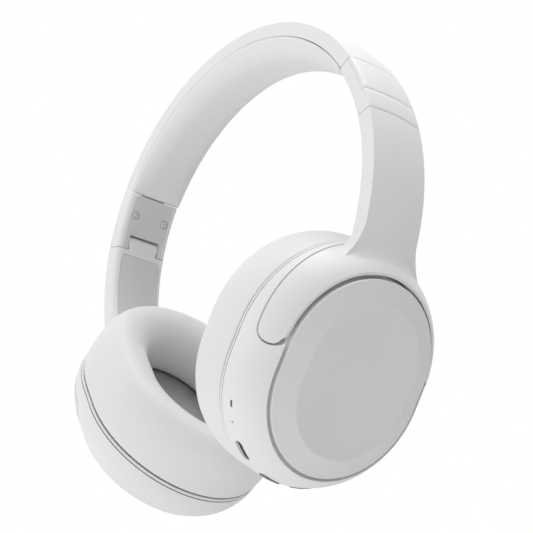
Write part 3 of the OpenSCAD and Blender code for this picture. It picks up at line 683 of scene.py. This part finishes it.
class HEADPHONES_OT_stage(bpy.types.Operator):
    """Set the floor, the soft light, the white surround and the camera"""
    bl_idname = "headphones.stage"
    bl_label = "Stage"

    def execute(self, context):
        scene, stage = context.scene, context.scene.headphone_stage
        self.surround(scene, stage)
        self.floor()
        self.lamp("key_light", stage.key, (-0.6, -1.15, 0.25), 0.9)
        self.lamp("top_light", stage.top, (0.32, 0.0, 1.1), 0.9)
        self.camera(scene, stage)
        scene.view_settings.view_transform = "Standard"
        return {"FINISHED"}

    def surround(self, scene, stage):
        """White to the camera and to reflections; on the object the room is brightest from the front, low and left."""
        world = bpy.data.worlds.new("white_room")
        world.use_nodes = True
        tree = world.node_tree
        tree.nodes.clear()
        ray = add(tree, "ShaderNodeLightPath")
        seen = add(tree, "ShaderNodeMath", {0: ray.outputs["Is Camera Ray"], 1: ray.outputs["Is Transmission Ray"]},
                   operation="MAXIMUM")
        seen = add(tree, "ShaderNodeMath", {0: seen.outputs["Value"], 1: ray.outputs["Is Glossy Ray"]},
                   operation="MAXIMUM")
        place = add(tree, "ShaderNodeTexCoord")
        lean = add(tree, "ShaderNodeVectorMath", {0: place.outputs["Generated"]},
                   {1: Vector(stage.bright_side).normalized()}, operation="DOT_PRODUCT")
        glow = add(tree, "ShaderNodeMapRange", {"Value": lean.outputs["Value"]},
                   {"From Min": -1.0, "To Min": stage.ambient * (1 - stage.slope),
                    "To Max": stage.ambient * (1 + stage.slope)})
        room = add(tree, "ShaderNodeBackground", {"Strength": glow.outputs["Result"]}, {"Color": linear("#FFFFFF")})
        white = add(tree, "ShaderNodeBackground", inputs={"Color": linear("#FFFFFF"), "Strength": 1.0})
        mix = add(tree, "ShaderNodeMixShader", {"Fac": seen.outputs["Value"], 1: room.outputs["Background"],
                                                2: white.outputs["Background"]})
        add(tree, "ShaderNodeOutputWorld", {"Surface": mix.outputs["Shader"]})
        scene.world = world

    def floor(self):
        """A pale floor under the cups, open from below, where the photograph's camera stands.

        It lets the room's light through to the undersides, as a light table does, and fades into the white surround.
        """
        reach = 3.0
        mesh = bpy.data.meshes.new("floor")
        corners = [(-reach, -reach, 0), (reach, -reach, 0), (reach, reach, 0), (-reach, reach, 0)]
        mesh.from_pydata(corners, [], [(0, 1, 2, 3)])
        floor = bpy.data.objects.new("floor", mesh)
        bpy.context.scene.collection.objects.link(floor)
        material = bpy.data.materials.new("studio_paper_white")
        material.use_nodes = True
        tree = material.node_tree
        tree.nodes.clear()
        face = add(tree, "ShaderNodeNewGeometry")
        ray = add(tree, "ShaderNodeLightPath")
        lit = add(tree, "ShaderNodeMath", {0: ray.outputs["Is Shadow Ray"], 1: ray.outputs["Is Diffuse Ray"]},
                  operation="MAXIMUM")
        clear = add(tree, "ShaderNodeMath", {0: face.outputs["Backfacing"], 1: lit.outputs["Value"]},
                    operation="MAXIMUM")
        paper = add(tree, "ShaderNodeBsdfDiffuse", inputs={"Color": linear("#F4F4F4")})
        reach_out = add(tree, "ShaderNodeVectorMath", {0: face.outputs["Position"]}, operation="LENGTH")
        fade = add(tree, "ShaderNodeMapRange", {"Value": reach_out.outputs["Value"]},
                   {"From Min": 0.12, "From Max": 0.75}, interpolation_type="SMOOTHSTEP")
        seen = add(tree, "ShaderNodeMath", {0: ray.outputs["Is Camera Ray"], 1: ray.outputs["Is Glossy Ray"]},
                   operation="MAXIMUM")
        white = add(tree, "ShaderNodeEmission", {"Strength": seen.outputs["Value"]}, {"Color": linear("#FFFFFF")})
        ground = add(tree, "ShaderNodeMixShader", {"Fac": fade.outputs["Result"], 1: paper.outputs["BSDF"],
                                                   2: white.outputs["Emission"]})
        open_side = add(tree, "ShaderNodeBsdfTransparent")
        mix = add(tree, "ShaderNodeMixShader", {"Fac": clear.outputs["Value"], 1: ground.outputs["Shader"],
                                                2: open_side.outputs["BSDF"]})
        add(tree, "ShaderNodeOutputMaterial", {"Surface": mix.outputs["Shader"]})
        mesh.materials.append(material)

    def lamp(self, name, power, place, size):
        """A square soft light that faces the middle of the object."""
        data = bpy.data.lights.new(name, "AREA")
        data.energy, data.size = power, size
        lamp = bpy.data.objects.new(name, data)
        bpy.context.scene.collection.objects.link(lamp)
        lamp.location = place
        lamp.visible_camera = False
        lamp.rotation_euler = (Vector((0, 0, 0.09)) - Vector(place)).to_track_quat("-Z", "Y").to_euler()

    def camera(self, scene, stage):
        """The photograph's view: below the object, three quarters from its left front."""
        a, e, r = stage.azimuth, stage.elevation, stage.roll
        back = Vector((math.sin(a) * math.cos(e), -math.cos(a) * math.cos(e), math.sin(e)))
        right = Vector((math.cos(a), math.sin(a), 0))
        up = back.cross(right)
        right, up = (right * math.cos(r) - up * math.sin(r), right * math.sin(r) + up * math.cos(r))
        aim_below, aside, below = 19.7 * MM, -7.980735 * MM, -5.14563 * MM
        middle = Vector((0, 0, BAND_Z - aim_below))
        data = bpy.data.cameras.new("photo_camera")
        data.lens, data.sensor_width = stage.lens, 36.0
        data.clip_start, data.clip_end = 0.01, 20.0
        camera = bpy.data.objects.new("photo_camera", data)
        scene.collection.objects.link(camera)
        turn = Matrix((right, up, back)).transposed().to_4x4()
        place = middle - right * aside - up * below + back * stage.distance
        camera.matrix_world = Matrix.Translation(place) @ turn
        scene.camera = camera


class HEADPHONES_PT_panel(bpy.types.Panel):
    """The steps that dress the headphones"""
    bl_idname = "HEADPHONES_PT_panel"
    bl_label = "Headphones"
    bl_space_type = "VIEW_3D"
    bl_region_type = "UI"
    bl_category = "Headphones"

    def draw(self, context):
        for group in (getattr(context.scene, name) for name in GROUPS):
            box = self.layout.box()
            for name in group.bl_rna.properties.keys():
                if name not in ("rna_type", "name"):
                    box.prop(group, name)
        for operator in STEPS:
            self.layout.operator(operator.bl_idname)


GROUPS = {"headphone_finish": HeadphoneFinish, "headphone_soft": HeadphoneSoft, "headphone_blend": HeadphoneBlend,
          "headphone_stage": HeadphoneStage}
STEPS = (HEADPHONES_OT_stage, HEADPHONES_OT_finishes, HEADPHONES_OT_yokes, HEADPHONES_OT_housings,
         HEADPHONES_OT_rings, HEADPHONES_OT_screws, HEADPHONES_OT_cushions, HEADPHONES_OT_head_pad)


def register():
    for cls in (*GROUPS.values(), *STEPS, HEADPHONES_PT_panel):
        bpy.utils.register_class(cls)
    for name, group in GROUPS.items():
        setattr(bpy.types.Scene, name, PointerProperty(type=group))


def unregister():
    for name in GROUPS:
        delattr(bpy.types.Scene, name)
    for cls in reversed((*GROUPS.values(), *STEPS, HEADPHONES_PT_panel)):
        bpy.utils.unregister_class(cls)


def main():
    """Register and run every step in order."""
    register()
    for operator in STEPS:
        group, name = operator.bl_idname.split(".")
        getattr(getattr(bpy.ops, group), name)()


if __name__ == "__main__":
    main()
